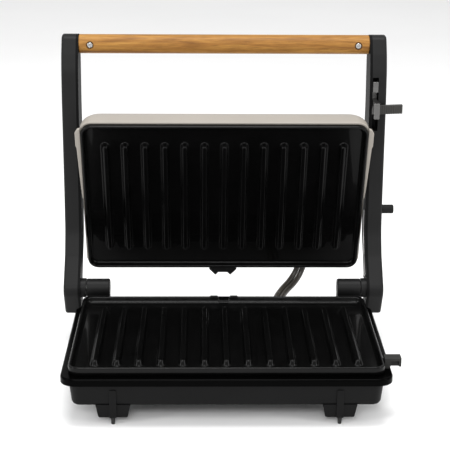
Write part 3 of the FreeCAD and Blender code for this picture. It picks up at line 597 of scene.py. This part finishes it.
bm = bmesh.new()
LIP = 2.2
rings = []
for level, inset in ((-20.0, LIP), (-23.6, LIP), (-24.05, LIP - 0.15), (-24.2, LIP - 0.55), (-24.2, 0.6)):
    _, half, front, back, corner = COVER_SECTIONS[0]
    rings.append(cover_ring(bm, level, half - inset, front + inset, back - inset, corner - inset))
STEPS, FIRST = 28, 0.012  # rings over the dome, and the first one's place above the lip
for k in range(STEPS + 1):
    position = FIRST + (len(COVER_SECTIONS) - 1 - FIRST) * k / STEPS
    rings.append(cover_ring(bm, *(catmull(column, position) for column in zip(*COVER_SECTIONS))))
_, half, front, back, corner = COVER_SECTIONS[-1]
for level, inset in ((14.9, 5.0), (15.5, 10.0), (15.9, 18.0), (16.2, 30.0), (16.4, 45.0)):
    corner_here = max(corner - inset * 0.3, 6.0)
    rings.append(cover_ring(bm, level, half - inset, front + inset, back - inset, corner_here))
for a, b in zip(rings, rings[1:]):
    bridge(bm, a, b)
bm.faces.new(rings[-1])
WING = [
    (119.6, -50.5), (122.0, -49.5), (124.0, -46.0), (124.0, -33.5),
    (123.2, -31.5), (121.7, 7.5), (121.0, 20.0), (119.6, 21.0),
]
cover = placed(to_frame(bm, LID), "lid_cover_shell", COVER, "lid", ["lid_cover"])
for side, name in ((-1, "left"), (1, "right")):
    bm = polygon_prism([(side * x, y) for x, y in WING], -26.8, -24.0)
    bmesh.ops.transform(bm, matrix=LID, verts=bm.verts)
    rounded(placed(bm, f"cover_wing_{name}", COVER, "lid"), 0.0006)


# ---------------------------------------------------------------- arms, handle and hinge
for name in ("arm_left", "arm_right"):
    keep(name, BLACK, 0.0004)
# The inner covers wear the darker copy of the black plastic, as painted shade.
for name in ("arm_inner_cover_left", "arm_inner_cover_right"):
    keep(name, INNER_PAINTED_SHADE, 0.0005, 3)

HINGE_Y, HINGE_Z, HANDLE_Y, HANDLE_Z, SCREW_X = 80.5, 50.2, 126.0, 252.4, 112.6
for side, name in ((-1, "left"), (1, "right")):
    bm = lathe(capped(7.8, 19.7, 1.3, 0.5), (side * 97.3, HINGE_Y, HINGE_Z), (side, 0, 0), 72)
    barrel = placed(bm, f"barrel_{name}", BLACK, "base", [f"hinge_barrel_{name}"])
    pedestal = block((side * 107.15, 80.1, 45.1), (side * 19.3, 11.8, 10.2))
    carve(barrel, placed(pedestal, "pedestal_tool", BLACK, None), "UNION")
    rounded(barrel, 0.0006, 3)

bm = lathe(capped(8.0, 244.2, 0.7, 0.7), (-122.1, HANDLE_Y, HANDLE_Z), (1, 0, 0), 96)
handle = placed(bm, "handle_round_bar", WOOD, "arms", ["handle_bar"])
for side, name in ((-1, "left"), (1, "right")):
    bm = lathe([(0, 3.0), (3.0, 3.0)], (side * SCREW_X, 119.9, HANDLE_Z), (0, -1, 0), 48)
    carve(handle, placed(bm, "seat_tool", WOOD, None))
rounded(handle, 0.0003, 2)
SCREW_HEAD = [(0, 2.45), (0.9, 2.45), (1.25, 2.38), (1.5, 2.15), (1.68, 1.7), (1.78, 1.0), (1.8, 0.3)]
for side, name in ((-1, "left"), (1, "right")):
    bm = lathe(SCREW_HEAD, (side * SCREW_X, 119.9, HANDLE_Z), (0, -1, 0), 48)
    screw = placed(bm, f"handle_screw_{name}", BRIGHT, "arms", ["handle_screws"])
    for across, tall in ((3.0, 0.62), (0.62, 3.0)):
        centre = (side * SCREW_X, 117.9, HANDLE_Z)
        bm = block(centre, (across, 2.2, tall))
        turned = Matrix.Rotation(math.radians(20 + 50 * side), 3, "Y")
        bmesh.ops.rotate(bm, cent=Vector(centre) * MM, verts=bm.verts, matrix=turned)
        carve(screw, placed(bm, "recess_tool", BRIGHT, None))
    rounded(screw, 0.00008, 2)

bm = lathe(capped(3.9, 11.2, 0.2, 0.9), (136.5, 114.0, 110.6), (1, 0, 0), 48)
placed(bm, "side_peg", BLACK, "arms", ["arm_peg"])
keep("lid_pivot_pins", BRIGHT, 0.0003)
keep("hinge_pins", BRIGHT, 0.0003)
keep("stay_wire", BRIGHT, 0.0001)


# ---------------------------------------------------------------- latch
keep("latch_slider", DULL, 0.0003)
catch = placed(
    box((119.9, -64.0, 41.5), (132.2, -55.4, 48.1)),
    "latch_catch_hood", CATCH_PAINTED_SHADE, "base", ["latch_catch"],
)
carve(catch, placed(box((119.8, -64.1, 40.0), (123.2, -55.3, 42.0)), "root_tool", CATCH_PAINTED_SHADE, None), "UNION")
carve(catch, placed(box((124.2, -65.0, 41.0), (130.5, -57.2, 45.9)), "pocket_tool", CATCH_PAINTED_SHADE, None))
carve(catch, placed(box((124.9, -57.3, 39.2), (132.1, -55.5, 46.5)), "backstop_tool", CATCH_PAINTED_SHADE, None), "UNION")
rounded(catch, 0.0005, 3)
LEVER = [(129.42, 197.6), (149.6, 198.4), (149.6, 205.8), (129.42, 205.0)]
bm = bmesh.new()
near = [bm.verts.new(Vector((x, 101.6, z)) * MM) for x, z in LEVER]
far = [bm.verts.new(Vector((x, 105.6, z)) * MM) for x, z in LEVER]
bridge(bm, near, far)
bm.faces.new(near)
bm.faces.new(far)
lever = placed(bm, "latch_lever_grip", GREY, "latch", ["latch_lever"])
bm = bmesh.new()
for index in range(9):
    block((132.2 + 1.9 * index, 101.5, 201.7), (0.7, 1.0, 20.0), bm)
carve(lever, placed(bm, "rib_tool", GREY, None))
rounded(lever, 0.00025, 2)


# ---------------------------------------------------------------- base
# The housing wears the darker copy of the black plastic, as painted shade.
keep("base_housing", HOUSING_PAINTED_SHADE, 0.0005)
keep("tray_bezel", BEZEL, 0.0003)
keep("foot_studs", RUBBER, 0.0003)
keep("housing_screws", BRIGHT, 0.0002)
for name in ("mains_inlet_bush", "base_lead_bush", "lid_lead_bush"):
    keep(name, RUBBER, 0.0006, 3)


# ---------------------------------------------------------------- heating parts inside
for name in ("lower_reflector", "upper_reflector", "thermostat", "lid_frame"):
    keep(name, SHEET, 0.0002)
for name in ("lower_element", "upper_element"):
    keep(name, HEATER, 0.0002)
for name in ("terminal_block", "thermal_fuse"):
    keep(name, STEATITE, 0.0003)


# ---------------------------------------------------------------- lead between the base and the lid
ROUTE = [(45.0, 81.0, 24.5), (45.0, 116.0, 24.5), (72.0, 148.0, 39.1), (72.0, 140.8, 59.9)]
STRAND, SPREAD = 2.4, 2.45  # radius of a strand, and its centre's distance from the middle
SPLIT_Y = 121.0  # where the lead is split into its two halves


def along_route(samples=36):
    """Points of a smooth curve inside the route's corners, with their directions."""
    first, second, third, last = (Vector(p) for p in ROUTE)
    halfway = (second + third) / 2
    line = []
    for a, b, c in ((first, second, halfway), (halfway, third, last)):
        for k in range(samples + 1):
            u = k / samples
            point = a * (1 - u) ** 2 + b * 2 * u * (1 - u) + c * u**2
            way = ((b - a) * (1 - u) + (c - b) * u).normalized()
            if not line or (point - line[-1][0]).length > 1e-6:
                line.append((point, way))
    return line


def twin(name, line):
    """Both strands of the lead along a line."""
    bm = bmesh.new()
    for shift in (-SPREAD, SPREAD):
        rings = []
        for point, way in line:
            side = (Vector((1, 0, 0)) - way * way.x).normalized()
            up = way.cross(side)
            centre = point + side * shift
            rings.append(
                [
                    bm.verts.new((centre + (side * math.cos(a) + up * math.sin(a)) * STRAND) * MM)
                    for a in (2 * math.pi * k / 24 for k in range(24))
                ]
            )
        for a, b in zip(rings, rings[1:]):
            bridge(bm, a, b)
        bm.faces.new(rings[0])
        bm.faces.new(rings[-1])
    return placed(bm, name, SHEATH, None)


line = along_route()
split = next(i for i, (point, way) in enumerate(line) if point.y > SPLIT_Y)
lower_lead, upper_lead = twin("link_lead_lower", line[: split + 1]), twin("link_lead_upper", line[split:])
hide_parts("link_lead")
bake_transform(lower_lead)
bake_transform(upper_lead)


# ---------------------------------------------------------------- floor
FLOOR_REACH = 8.0
floor_finish = Finish("pale_floor", roughness=0.6, specular=0.2)
cloud = floor_finish.noise(3.0, 3.0)
floor_finish.wear(
    floor_finish.ramp(cloud, (0.3, (0.90, 0.90, 0.90)), (0.7, (0.92, 0.92, 0.92))),
    floor_finish.span(cloud, 0.55, 0.7),
    floor_finish.bump(floor_finish.noise(400.0), 0.05, 0.0002),
)
bm = bmesh.new()
bmesh.ops.create_grid(bm, x_segments=2, y_segments=2, size=FLOOR_REACH)
floor = placed(bm, "studio_floor", floor_finish.material, None)
